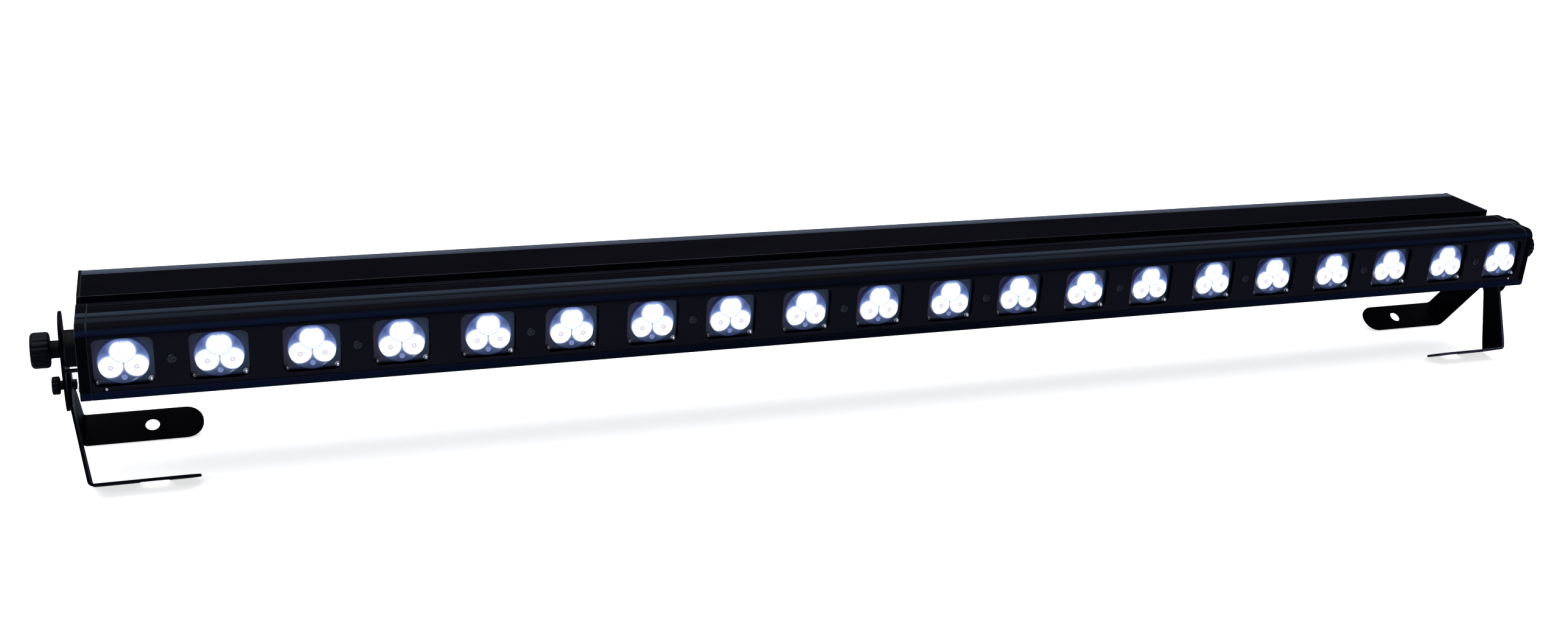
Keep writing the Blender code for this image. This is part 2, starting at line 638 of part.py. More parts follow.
def make_hardware(side, name):
    """Spacer, stud, tilt knob, lock screw, nut and stop pin of one end."""
    def slice_along(outline, low, high, bevel=0.0):
        return outline_mesh(outline, *side_span(side, low, high), ALONG_X, bevel)

    stud_bore = circle(0, 0, STUD_R + GAP, 16)
    at = PIVOT * MM
    spacer_out = SPACER_IN + SPACER_WIDE
    spacer = place(f"pivot_spacer_{name}",
                   slice_along(circle(0, 0, SPACER_R, 28), SPACER_IN, spacer_out, 0.4),
                   "moulded_black", at)
    combine(spacer, slice_along(stud_bore, SPACER_IN - PAST, spacer_out + PAST))
    settle(spacer)

    head_out = HALF_LENGTH - FRONT_CAP - GAP
    stud = place(f"pivot_stud_{name}",
                 slice_along(circle(0, 0, STUD_R, 16), head_out - STUD_HEAD,
                             KNOB_IN + STUD_IN_KNOB),
                 "steel", at)
    combine(stud, slice_along(circle(0, 0, STUD_HEAD_R, 6), head_out - STUD_HEAD - 0.5,
                              head_out), "UNION")
    settle(stud)

    grip_in = KNOB_IN + COLLAR_LONG
    grip = fluted(KNOB_R, KNOB_FLUTE, KNOB_FLUTES)
    knob = place(f"tilt_knob_{name}", slice_along(grip, grip_in, grip_in + KNOB_GRIP, 0.6),
                 "moulded_black", at)
    combine(knob, slice_along(circle(0, 0, COLLAR_R, 20), KNOB_IN, grip_in + 3), "UNION")
    combine(knob, slice_along(stud_bore, KNOB_IN - PAST, KNOB_IN + STUD_IN_KNOB + 1))
    settle(knob)

    at = LOCK * MM
    nut_out = LEG_OUTER - SHEET - GAP
    nut_in = nut_out - NUT_THICK
    grip_in = KNOB_IN + NECK_LONG
    grip = fluted(SCREW_R, SCREW_FLUTE, SCREW_FLUTES)
    screw = place(f"lock_screw_{name}",
                  slice_along(grip, grip_in, grip_in + SCREW_GRIP, 0.4), "moulded_black", at)
    combine(screw, slice_along(circle(0, 0, NECK_R, 16), KNOB_IN, grip_in + 0.6), "UNION")
    combine(screw, slice_along(circle(0, 0, BOLT_R, 12), nut_in - 0.2, KNOB_IN + 2), "UNION")
    settle(screw)
    nut = place(f"lock_nut_{name}", slice_along(circle(0, 0, NUT_R, 6), nut_in, nut_out),
                "steel", at)
    combine(nut, slice_along(circle(0, 0, BOLT_R + GAP, 12), nut_in - PAST, nut_out + PAST))
    settle(nut)

    place(f"stop_pin_{name}", slice_along(circle(0, -STOP_PIN_DROP, STOP_PIN_R, 10), SPACER_IN,
                                          spacer_out), "steel", PIVOT * MM)


make_front()
make_lenses()
make_inside()
make_rear()
make_sockets()
make_controls()
make_ends()
for side, name in ((-1, "left"), (1, "right")):
    make_main_bracket(side, name)
    make_front_leg(side, name)
    make_hardware(side, name)
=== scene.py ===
"""Looks for the LED batten: lit three-lens cells, black anodised and painted metal, studio.

Lengths are in metres. Sizes given in millimetres are multiplied by MM where they are used, and
every place is worked out from the frame. Each piece is built round its own origin: X to the
right, Z up and Y away from the front. Colours are linear red, green and blue.
"""
import json
import math

import bmesh
import bpy
from mathutils import Matrix, Vector


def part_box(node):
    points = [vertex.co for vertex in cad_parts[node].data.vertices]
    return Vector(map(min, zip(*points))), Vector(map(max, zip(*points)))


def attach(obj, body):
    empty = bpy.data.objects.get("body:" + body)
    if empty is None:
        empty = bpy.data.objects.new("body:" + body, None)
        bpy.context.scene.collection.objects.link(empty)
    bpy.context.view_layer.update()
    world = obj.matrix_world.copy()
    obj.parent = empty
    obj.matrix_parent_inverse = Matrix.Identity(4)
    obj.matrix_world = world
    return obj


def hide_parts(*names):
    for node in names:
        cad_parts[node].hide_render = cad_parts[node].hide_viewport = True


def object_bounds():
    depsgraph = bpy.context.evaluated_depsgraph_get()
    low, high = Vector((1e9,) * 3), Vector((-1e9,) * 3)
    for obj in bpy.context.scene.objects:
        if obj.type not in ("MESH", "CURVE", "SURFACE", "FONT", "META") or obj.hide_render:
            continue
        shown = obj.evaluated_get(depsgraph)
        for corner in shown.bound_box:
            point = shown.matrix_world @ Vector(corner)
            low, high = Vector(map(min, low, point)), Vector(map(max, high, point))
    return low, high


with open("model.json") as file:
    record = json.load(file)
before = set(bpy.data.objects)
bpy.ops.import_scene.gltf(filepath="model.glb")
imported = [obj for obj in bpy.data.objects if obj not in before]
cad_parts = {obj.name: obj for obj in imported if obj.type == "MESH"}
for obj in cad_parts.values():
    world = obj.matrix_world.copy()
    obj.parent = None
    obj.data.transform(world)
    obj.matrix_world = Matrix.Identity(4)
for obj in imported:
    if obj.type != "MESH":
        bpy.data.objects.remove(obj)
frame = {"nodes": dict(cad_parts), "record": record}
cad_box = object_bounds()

MM = 0.001
ENDS = ((-1, "left"), (1, "right"))
nodes = frame["nodes"]
cells = sorted(name for name in nodes if name.startswith("lens_module"))
body_of_node = {node: body for body, members in frame["record"]["behaviour"]["bodies"].items()
                for node in members}
scene = bpy.context.scene

# The photograph's camera, fitted to the lens row, the long edges and both ends.
CAMERA_AT = Vector((-0.4427, -0.9525, 0.4597))
CAMERA_BACK = Vector((-0.33852, -0.86945, 0.35981))
CAMERA_UP = Vector((0.06951, 0.35823, 0.93104))
CAMERA_LENS = 38.28
CAMERA_REACH = 100

# The camera sees white paper. For reflections and bounced light the room is dim and bluish and
# the floor is bluish grey, so that the black finish stays as deep as in the photograph. The
# floor reaches FLOOR_SIZE metres each way and lies FLOOR_DROP millimetres under the feet.
ROOM_TINT, ROOM_STRENGTH = (0.72, 0.80, 1.0), 0.07
PAPER_TINT, PAPER_GLOW = (0.93, 0.93, 0.935), 0.72
FLOOR_BOUNCE = (0.28, 0.31, 0.40)
FLOOR_SIZE = 20
FLOOR_DROP = 0.2

# A cell, in millimetres from its middle: each lens, and each patch of light as its place, half
# width and half height. The upper lens shows three patches that run together.
LENS_AT = ((-6.7, -3.2), (6.7, -3.2), (0.0, 5.4))
LENS_R = 6.0
LENS_RISE = 1.5
LENS_FOOT = 0.5
LOWER_LIGHT = ((-6.7, -3.2, 6.2, 6.0), (6.7, -3.2, 6.2, 6.0))
UPPER_LIGHT = ((-2.1, 5.3, 4.4, 5.7), (0.0, 5.3, 5.0, 5.8), (2.1, 5.3, 4.4, 5.7))
DIES = LENS_AT[:2]
HOLDER_R = 13.5
CARRIER_WIDE, CARRIER_TALL, CARRIER_THICK = 32.0, 28.0, 1.6
PIP_AT, PIP_R = (0.0, -9.7), 1.6
CLIP_AT = ((-14.0, -12.2), (14.0, -12.2))
CLIP_R, CLIP_TALL, CLIP_GAP = 1.4, 2.6, 0.1

# Light over a cell, as distances and colours: out from the nearest patch of light with its edge
# at 1, running on past that edge as painted glow over the holder, out from a die with the lens's
# edge at 1, and the carrier's painted glow from left to right in millimetres. The search for the
# nearest patch starts from OUT_OF_REACH, which is past every stop.
LENS_GLOW = ((0.0, (1.0, 1.0, 1.0)), (0.93, (1.0, 1.0, 1.0)), (1.02, (0.66, 0.74, 1.0)),
             (1.08, (0.28, 0.36, 0.66)), (1.22, (0.10, 0.15, 0.33)),
             (1.6, (0.045, 0.065, 0.20)), (2.4, (0.02, 0.03, 0.10)))
DIE_GLOW = ((0.0, (0.75, 0.70, 0.78)), (0.10, (0.72, 0.68, 0.76)), (0.19, (0.42, 0.40, 0.50)),
            (0.30, (1.0, 1.0, 1.0)))
CARRIER_GLOW = ((-14, (0.010, 0.004, 0.019)), (-10, (0.003, 0.004, 0.017)),
                (4, (0.002, 0.006, 0.021)), (15, (0.005, 0.015, 0.032)))
SEAM_GLOW = (0.30, 0.52, 0.78)
# The moulding pip's colour is painted glow. The pip is no lamp.
PIP_GLOW = (0.13, 0.17, 0.36)
GLOW_STRENGTH = 1.3
OUT_OF_REACH = 9.0

# Painted highlights in strips on the front housing, with how strong the painted highlight is at
# each place: the top's as millimetres forward of its back edge, the nose's and the lip's as
# millimetres below its top.
TOP_HIGHLIGHT_BANDS = ((0.0, 0.08), (4.8, 0.06), (5.5, 0.0), (15.2, 0.0), (15.9, 0.9), (20.5, 0.72),
             (21.2, 0.2), (22.6, 0.15), (22.8, 0.0), (23.8, 0.0), (24.2, 0.36), (29.0, 0.30),
             (31.5, 0.04), (33.0, 0.0))
NOSE_HIGHLIGHT_BANDS = ((1.6, 0.0), (3.0, 0.42), (4.4, 0.42), (5.6, 0.0), (38.3, 0.0), (38.6, 0.45),
              (44.0, 0.45))
# Colours of the painted highlights: on the housing's top, on its nose and lip, and on the rear
# cover's fold.
TOP_HIGHLIGHT = (0.025, 0.034, 0.050)
NOSE_HIGHLIGHT = (0.010, 0.020, 0.060)
FOLD_HIGHLIGHT = (0.052, 0.060, 0.086)
# Where the painted highlights fade, in millimetres: below the housing's top, behind its nose,
# below the cover's top and in front of the cover. The nose's painted highlight rises from
# NOSE_MIDDLE to full strength between these distances from the batten's middle, in metres.
TOP_FADE, NOSE_FADE, FOLD_FADE, LIP_FADE = (1.6, 1.3), (3.0, 4.0), (1.5, 1.0), (2.2, 1.6)
NOSE_MIDDLE, NOSE_ENDS = 0.3, (0.05, 0.45)

# Finishes of the black pieces.
SATIN_BASE, SATIN_LIFT = (0.0020, 0.0020, 0.0034), (0.0028, 0.0028, 0.0048)
SATIN_GLOSS, SATIN_SPECULAR = 0.42, 0.006
PAINT_SPECULAR = 0.02

# In degrees: a CAD node's faces within FLAT of each other are joined, then its edges steeper than
# SHARP are rounded. Pieces made here are smooth below SMOOTH. Points within MERGE_WITHIN
# millimetres are merged.
SHARP, FLAT, SMOOTH = 30.0, 0.5, 35.0
MERGE_WITHIN = 0.001
# How wide each finish's edges are rounded, in millimetres.
EDGE_WIDTH = {"anodised_black": 0.25, "painted_black": 0.25, "bracket_black": 0.7,
              "moulded_black": 0.35, "window_acrylic": 0.2, "steel": 0.15, "aluminium": 0.5,
              "board_black": 0.1, "board_green": 0.1, "button_grey": 0.3, "lens_acrylic": 0.2}

# Screw heads, as radius and height in millimetres. A head's flat and its recess's arms and span
# are shares of the radius. Its rim and its recess's depth are shares of the height. Its root
# reaches HEAD_ROOT millimetres behind its plane.
BEZEL_SCREW, COVER_SCREW, END_SCREW, SOCKET_SCREW = (2.6, 0.7), (2.4, 0.9), (2.0, 0.6), (1.9, 0.5)
HEAD_FLAT, HEAD_RIM, HEAD_ROOT = 0.35, 0.45, 1.0
RECESS_ARM, RECESS_SPAN, RECESS_DEPTH = 0.22, 0.62, 0.75
# How far screws stand in from the edges, how many the cover has in a row, and the bezel pins'
# radius and place: outwards of the end cell's middle and above the bezel's lower edge.
SCREW_INSET = 6.0
COVER_SCREWS = 5
PIN_R, PIN_OUT, PIN_UP = 0.8, 9.5, 1.0

# Seals, in millimetres: their gap and thickness along X, how far inside the end piece's outline
# each of their two loops lies, and the outline's corner radii, anticlockwise from the low front
# corner.
SEAL_GAP, SEAL_THICK = 0.05, 0.2
SEAL_INSETS = (0.15, 1.3)
CAP_CORNERS, PLATE_CORNERS = (3.0, 1.0, 1.0, 6.0), (0.8, 1.6, 1.6, 0.8)
LEAST_CORNER = 0.1

# Sockets, in millimetres from the middle of a face: flange screws, the circles of contacts with
# their angles, and the data outlet's latch.
FLANGE_BACK = 0.6
FLANGE_SCREWS = (("a", (-9.8, 12.3)), ("b", (9.8, -12.3)))
POWER_CIRCLE, POWER_ANGLES, POWER_BACK = 7.6, (90, 210, 330), 13.1
DATA_CIRCLE, DATA_ANGLES = 4.8, (30, 150, 270)
LATCH_BACK, LATCH_UP = 0.4, 13.6
# The display's rim, in millimetres: each loop as how far outside the window and its corner
# radius, and its near and far faces in front of the cover.
FRAME_LOOPS = ((2.2, 2.0), (0.5, 0.6))
FRAME_GAP, FRAME_PROUD = 0.05, 0.7

# The tilt knob's bore, hub and dished face, and the thumb screw's thread, collar and grip, in
# millimetres.
BORE_R, BORE_DEPTH, HUB_R, HUB_LONG, DISH = 3.3, 12.0, 5.0, 5.0, 0.8
THREAD_R, COLLAR_R, COLLAR_LONG, THUMB_LONG = 1.5, 2.7, 2.4, 4.4


# --- camera and studio --------------------------------------------------------------------
def add_object(name, data):
    made = bpy.data.objects.new(name, data)
    scene.collection.objects.link(made)
    return made


def make_camera():
    lens = bpy.data.cameras.new("camera")
    lens.lens = CAMERA_LENS
    lens.clip_end = CAMERA_REACH
    camera = add_object("camera", lens)
    back = CAMERA_BACK.normalized()
    right = CAMERA_UP.cross(back).normalized()
    turn = Matrix((right, back.cross(right), back)).transposed().to_4x4()
    camera.matrix_world = Matrix.Translation(CAMERA_AT) @ turn
    scene.camera = camera


def add_light(name, kind, at, aim, power, **settings):
    data = bpy.data.lights.new(name, kind)
    data.energy = power
    for key, value in settings.items():
        setattr(data, key, value)
    light = add_object(name, data)
    light.location = at
    light.rotation_euler = (Vector(aim) - Vector(at)).to_track_quat("-Z", "Y").to_euler()


def split_rays(tree, lit, seen, output):
    """Show one shader to the camera and use the other for reflections and bounced light."""
    mix = tree.nodes.new("ShaderNodeMixShader")
    path = tree.nodes.new("ShaderNodeLightPath")
    tree.links.new(path.outputs["Is Camera Ray"], mix.inputs["Fac"])
    tree.links.new(lit, mix.inputs[1])
    tree.links.new(seen, mix.inputs[2])
    tree.links.new(mix.outputs["Shader"], tree.nodes[output].inputs["Surface"])


def make_world():
    """White where the camera sees it, and a dim cool room for everything else."""
    world = bpy.data.worlds.new("studio")
    scene.world = world
    world.use_nodes = True
    tree = world.node_tree
    room = tree.nodes["Background"]
    room.inputs["Color"].default_value = (*ROOM_TINT, 1)
    room.inputs["Strength"].default_value = ROOM_STRENGTH
    white = tree.nodes.new("ShaderNodeBackground")
    white.inputs["Color"].default_value = (1, 1, 1, 1)
    split_rays(tree, room.outputs["Background"], white.outputs["Background"], "World Output")


def make_floor():
    """Glowing white paper to the camera, so shadows stay faint, and a dim bluish bounce."""
    mesh = bpy.data.meshes.new("floor")
    shell = bmesh.new()
    bmesh.ops.create_grid(shell, x_segments=4, y_segments=4, size=FLOOR_SIZE)
    shell.to_mesh(mesh)
    shell.free()
    floor = add_object("floor", mesh)
    floor.location.z = cad_box[0][2] - FLOOR_DROP * MM
    paper = Graph("paper", PAPER_TINT, 0.9, specular=0.0)
    paper.shader.inputs["Emission Color"].default_value = (1, 1, 1, 1)
    paper.shader.inputs["Emission Strength"].default_value = PAPER_GLOW
    bounce = paper.add("BsdfDiffuse")
    bounce.inputs["Color"].default_value = (*FLOOR_BOUNCE, 1)
    split_rays(paper.tree, bounce.outputs["BSDF"], paper.shader.outputs["BSDF"],
               "Material Output")
    mesh.materials.append(paper.material)


def make_studio():
    make_world()
    make_floor()
    add_light("sky", "SUN", (0, 0, 3), (0.35, -0.2, 0), 3.5, angle=math.radians(80))
    add_light("side", "AREA", (-1.6, -1.4, 1.3), (-0.4, 0, 0.05), 10, shape="RECTANGLE",
              size=0.8, size_y=0.5, color=(0.85, 0.9, 1.0))
    add_light("back", "AREA", (0.6, 1.3, 1.9), (0, 0, 0.05), 14, shape="RECTANGLE",
              size=1.2, size_y=0.5, color=(0.9, 0.94, 1.0))
    scene.view_settings.view_transform = "Standard"


# --- materials ----------------------------------------------------------------------------
class Graph:
    """One material and short names for wiring its nodes."""

    def __init__(self, name, color, roughness, metallic=0.0, specular=0.5):
        self.material = bpy.data.materials.new(name)
        self.material.use_nodes = True
        self.tree = self.material.node_tree
        self.shader = self.tree.nodes["Principled BSDF"]
        self.shader.inputs["Base Color"].default_value = (*color, 1)
        self.shader.inputs["Roughness"].default_value = roughness
        self.shader.inputs["Metallic"].default_value = metallic
        self.shader.inputs["Specular IOR Level"].default_value = specular
        self.place = None

    def add(self, kind, **settings):
        node = self.tree.nodes.new("ShaderNode" + kind)
        for key, value in settings.items():
            setattr(node, key, value)
        return node

    def link(self, source, target):
        self.tree.links.new(source, target)

    def scaled(self, x, y, z):
        """The piece's own coordinates, in metres, times a scale along each axis."""
        if self.place is None:
            self.place = self.add("TexCoord").outputs["Object"]
        node = self.add("Mapping")
        node.inputs["Scale"].default_value = (x, y, z)
        self.link(self.place, node.inputs["Vector"])
        return node.outputs["Vector"]

    def noise(self, x, y, z, detail=3.0, roughness=0.5):
        """Noise with so many features to a metre along each axis."""
        node = self.add("TexNoise")
        node.inputs["Scale"].default_value = 1.0
        node.inputs["Detail"].default_value = detail
        node.inputs["Roughness"].default_value = roughness
        self.link(self.scaled(x, y, z), node.inputs["Vector"])
        return node.outputs["Fac"]

    def spread(self, source, low, high, from_low=0.3, from_high=0.7):
        """A value stretched from one range to another."""
        node = self.add("MapRange")
        node.inputs["From Min"].default_value = from_low
        node.inputs["From Max"].default_value = from_high
        node.inputs["To Min"].default_value = low
        node.inputs["To Max"].default_value = high
        self.link(source, node.inputs["Value"])
        return node.outputs["Result"]

    def maths(self, operation, a, b):
        node = self.add("Math", operation=operation)
        for socket, value in zip(node.inputs, (a, b)):
            if isinstance(value, (int, float)):
                socket.default_value = value
            else:
                self.link(value, socket)
        return node.outputs["Value"]

    def blend(self, factor, low, high):
        """A colour between two others."""
        node = self.add("Mix", data_type="RGBA")
        self.link(factor, node.inputs["Factor"])
        for socket, value in ((node.inputs[6], low), (node.inputs[7], high)):
            if isinstance(value, tuple):
                socket.default_value = (*value, 1)
            else:
                self.link(value, socket)
        return node.outputs[2]

    def times(self, color, factor):
        node = self.add("VectorMath", operation="SCALE")
        self.link(color, node.inputs["Vector"])
        self.link(factor, node.inputs["Scale"])
        return node.outputs["Vector"]

    def color(self, source):
        self.link(source, self.shader.inputs["Base Color"])

    def rough(self, source):
        self.link(source, self.shader.inputs["Roughness"])

    def bump(self, height, depth):
        """Relief from a height of 0 to 1, depth metres deep."""
        node = self.add("Bump")
        node.inputs["Distance"].default_value = depth
        self.link(height, node.inputs["Height"])
        self.link(node.outputs["Normal"], self.shader.inputs["Normal"])

    def axis(self, letter):
        """The piece's own X, Y or Z, in metres."""
        split = self.add("SeparateXYZ")
        self.link(self.scaled(1, 1, 1), split.inputs["Vector"])
        return split.outputs[letter]

    def distance(self, point, x, y, z):
        """How far the scaled coordinates are from a point."""
        node = self.add("VectorMath", operation="DISTANCE")
        self.link(self.scaled(x, y, z), node.inputs[0])
        node.inputs[1].default_value = point
        return node.outputs["Value"]

    def ramp(self, source, stops):
        """A colour read off (value, colour) stops, in rising order."""
        first, last = stops[0][0], stops[-1][0]
        node = self.add("ValToRGB")
        self.link(self.spread(source, 0, 1, first, last), node.inputs["Fac"])
        elements = node.color_ramp.elements
        elements[0].color = (*stops[0][1], 1)
        elements[1].color = (*stops[-1][1], 1)
        for value, color in stops[1:-1]:
            elements.new((value - first) / (last - first)).color = (*color, 1)
        return node.outputs["Color"]

    def levels(self, source, stops):
        """A value read off (value, level) stops, in rising order."""
        return self.ramp(source, [(value, (level, level, level)) for value, level in stops])


def anodised(name, base=SATIN_BASE, lift=SATIN_LIFT, specular=SATIN_SPECULAR, highlight_bands=None):
    """Black anodised extrusion: fine die lines along X, clouding, and any painted highlights in
    bands.
    """
    look = Graph(name, base, SATIN_GLOSS, specular=specular)
    lines = look.noise(2, 2600, 2600, 2.0)
    clouds = look.noise(14, 40, 40, 4.0, 0.6)
    tone = look.blend(look.spread(clouds, 0, 1), base, lift)
    look.color(highlight_bands(look, tone) if highlight_bands else tone)
    look.rough(look.maths("MULTIPLY", look.spread(lines, 0.85, 1.15),
                          look.spread(clouds, SATIN_GLOSS - 0.04, SATIN_GLOSS + 0.04)))
    look.bump(lines, 0.004 * MM)
    return look.material


def housing_highlights(look, tone):
    """Painted highlights in strips along the front housing's top, nose and bottom lip, stronger
    on the nose towards the ends.
    """
    low, high = box_of("front_housing")
    along_y, along_z = look.axis("Y"), look.axis("Z")
    across = look.levels(along_y, [(high.y - at * MM, level) for at, level in TOP_HIGHLIGHT_BANDS[::-1]])
    top = look.spread(along_z, 0, 1, *(high.z - at * MM for at in TOP_FADE))
    tone = look.blend(look.maths("MULTIPLY", across, top), tone, TOP_HIGHLIGHT)
    # Painted highlights on the nose and lip, stronger towards the batten's ends.
    down = look.levels(along_z, [(high.z - at * MM, level) for at, level in NOSE_HIGHLIGHT_BANDS[::-1]])
    front = look.spread(along_y, 1, 0, *(low.y + at * MM for at in NOSE_FADE))
    ends = look.spread(look.maths("ABSOLUTE", look.axis("X"), 0), NOSE_MIDDLE, 1, *NOSE_ENDS)
    nose = look.maths("MULTIPLY", look.maths("MULTIPLY", down, front), ends)
    return look.blend(nose, tone, NOSE_HIGHLIGHT)


def cover_highlights(look, tone):
    """A painted highlight along the rear cover's folded top edge and the box's lip beside it."""
    low, high = box_of("rear_cover")
    top = look.spread(look.axis("Z"), 0, 1, *(high.z - at * MM for at in FOLD_FADE))
    back = look.spread(look.axis("Y"), 0, 1, *(low.y - at * MM for at in LIP_FADE))
    return look.blend(look.maths("MULTIPLY", top, back), tone, FOLD_HIGHLIGHT)


def powder_coat(name, base, lift, gloss, grain=900.0):
    """Baked paint: a fine pebbled skin over metal, with a few faint scuffs."""
    look = Graph(name, base, gloss, specular=PAINT_SPECULAR)
    pebble = look.noise(grain, grain, grain, 3.0, 0.55)
    clouds = look.noise(18, 18, 18, 3.0)
    scuffs = look.spread(look.noise(700, 60, 60, 5.0, 0.7), 0, 0.5, 0.66, 0.8)
    tone = look.blend(look.spread(clouds, 0, 1), base, lift)
    look.color(look.blend(scuffs, tone, tuple(4 * part for part in lift)))
    look.rough(look.spread(clouds, gloss - 0.06, gloss + 0.06))
    look.bump(pebble, 0.02 * MM)
    return look.material


def edge_wear_and_sheen(name, edge_sheen, bare, gloss, specular=0.5):
    """The narrow rounded edge of a coated piece, polished by handling, lighter and bluer than its
    face as a painted highlight, and rubbed in places.
    """
    look = Graph(name, edge_sheen, gloss, specular=specular)
    rubbed = look.spread(look.noise(150, 150, 150, 5.0, 0.65), 0, 1, 0.50, 0.66)
    look.color(look.blend(rubbed, edge_sheen, bare))
    look.rough(look.spread(rubbed, gloss, gloss + 0.12, 0, 1))
    return look.material


def moulded(name, base, lift, gloss, grain=1600.0, specular=0.3):
    """Spark-eroded mould texture on black plastic or rubber."""
    look = Graph(name, base, gloss, specular=specular)
    grains = look.noise(grain, grain, grain, 2.0, 0.6)
    clouds = look.noise(60, 60, 60, 3.0)
    look.color(look.blend(look.spread(clouds, 0, 1), base, lift))
    look.rough(look.spread(grains, gloss - 0.08, gloss + 0.08))
    look.bump(grains, 0.012 * MM)
    return look.material


def metal(name, base, lift, gloss, streaks):
    """Bare or blackened metal with streaks along one axis."""
    look = Graph(name, base, gloss, metallic=1.0)
    brushed = look.noise(*streaks, 4.0, 0.6)
    stains = look.noise(120, 120, 120, 4.0, 0.6)
    look.color(look.blend(look.spread(stains, 0, 1), base, lift))
    look.rough(look.spread(brushed, gloss - 0.08, gloss + 0.1))
    look.bump(brushed, 0.004 * MM)
    return look.material


def circuit_board(name, base, trace):
    """Solder mask with copper runs showing faintly through it."""
    look = Graph(name, base, 0.35)
    runs = look.add("TexBrick")
    runs.inputs["Scale"].default_value = 1.0
    runs.inputs["Mortar Size"].default_value = 0.06
    runs.inputs["Brick Width"].default_value = 1.7
    runs.inputs["Row Height"].default_value = 0.9
    look.link(look.scaled(260, 260, 260), runs.inputs["Vector"])
    weave = look.noise(1500, 1500, 1500, 2.0)
    look.color(look.blend(runs.outputs["Fac"], base, trace))
    look.rough(look.spread(weave, 0.28, 0.42))
    look.bump(runs.outputs["Fac"], 0.02 * MM)
    return look.material


def nearest(look, places):
    """Distance to the nearest of some (x, z, half width, half height), 1 being its edge."""
    near = OUT_OF_REACH
    for x, z, wide, tall in places:
        away = look.distance((x / wide, 0, z / tall), 1 / (wide * MM), 0, 1 / (tall * MM))
        near = look.maths("MINIMUM", near, away)
    return near


def lit_acrylic():
    """Clear optics lit from behind: three white lenses, a blue-lit holder and a dim carrier.

    The light falls off with the distance from the nearest patch and runs on over the holder as
    painted glow, which is painted darker towards the holder's bottom as shade. Teal seams part
    the upper patches from the lower ones. Outside the holder's rim the carrier has a painted
    glow, with a trace of violet on one side and of teal on the other, and the moulding pip has a
    painted blue glow.
    """
    look = Graph("lit_acrylic", (0.02, 0.03, 0.05), 0.12)
    lower, upper = nearest(look, LOWER_LIGHT), nearest(look, UPPER_LIGHT)
    near = look.maths("MINIMUM", lower, upper)
    lens = look.ramp(near, LENS_GLOW)
    die = look.ramp(nearest(look, [(x, z, LENS_R, LENS_R) for x, z in DIES]), DIE_GLOW)
    lens = look.blend(look.spread(near, 1, 0, 0.6, 0.7), lens, die)

    apart = look.maths("ABSOLUTE", look.maths("SUBTRACT", lower, upper), 0)
    seam = look.maths("MULTIPLY", look.spread(apart, 0.8, 0, 0.06, 0.16),
                      look.spread(near, 0, 1, 0.55, 0.75))
    seam = look.maths("MULTIPLY", seam, look.spread(near, 1, 0, 0.95, 1.05))
    lens = look.blend(seam, lens, SEAM_GLOW)

    # Painted shade: the holder's painted glow is darker towards its bottom.
    above = look.spread(look.axis("Z"), 0.30, 1.0, -10 * MM, 1 * MM)
    shade = look.maths("MAXIMUM", above, look.spread(near, 1, 0, 1.0, 1.15))
    radius = look.distance((0, 0, 0), 1 / MM, 0, 1 / MM)
    # Painted glow on the carrier, fading outwards from the holder's rim.
    side = look.ramp(look.axis("X"), [(at * MM, color) for at, color in CARRIER_GLOW])
    rim = look.spread(radius, 0, 1, HOLDER_R - 0.4, HOLDER_R + 0.1)
    fade = look.spread(radius, 1.0, 0.2, HOLDER_R, HOLDER_R + 3.5)
    glow = look.blend(rim, look.times(lens, shade), look.times(side, fade))
    # Painted glow on the moulding pip.
    pip = nearest(look, [(*PIP_AT, PIP_R, PIP_R)])
    glow = look.blend(look.spread(pip, 1, 0, 0.9, 1.1), glow, PIP_GLOW)
    look.link(glow, look.shader.inputs["Emission Color"])
    look.shader.inputs["Emission Strength"].default_value = GLOW_STRENGTH

    ripple = look.noise(500, 500, 500, 2.0)
    look.rough(look.spread(ripple, 0.08, 0.18))
    look.bump(ripple, 0.01 * MM)
    return look.material


def smoked_acrylic():
    look = Graph("smoked_acrylic", (0.004, 0.004, 0.006), 0.06)
    haze = look.noise(90, 90, 90, 4.0, 0.65)
    look.rough(look.spread(haze, 0.04, 0.12))
    look.bump(haze, 0.004 * MM)
    return look.material


def box_of(name):
    low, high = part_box(name)
    return Vector(low), Vector(high)


def middle_of(name):
    low, high = box_of(name)
    return (low + high) / 2


RUBBER = moulded("seal_rubber", (0.0035, 0.0035, 0.0040), (0.0055, 0.0055, 0.0060), 0.7,
                 2500.0)
GOLD = metal("gilt_contact", (0.72, 0.50, 0.20), (0.80, 0.58, 0.26), 0.28, (80, 900, 80))
ZINC = metal("zinc_plate", (0.72, 0.75, 0.82), (0.82, 0.84, 0.90), 0.35, (700, 80, 700))
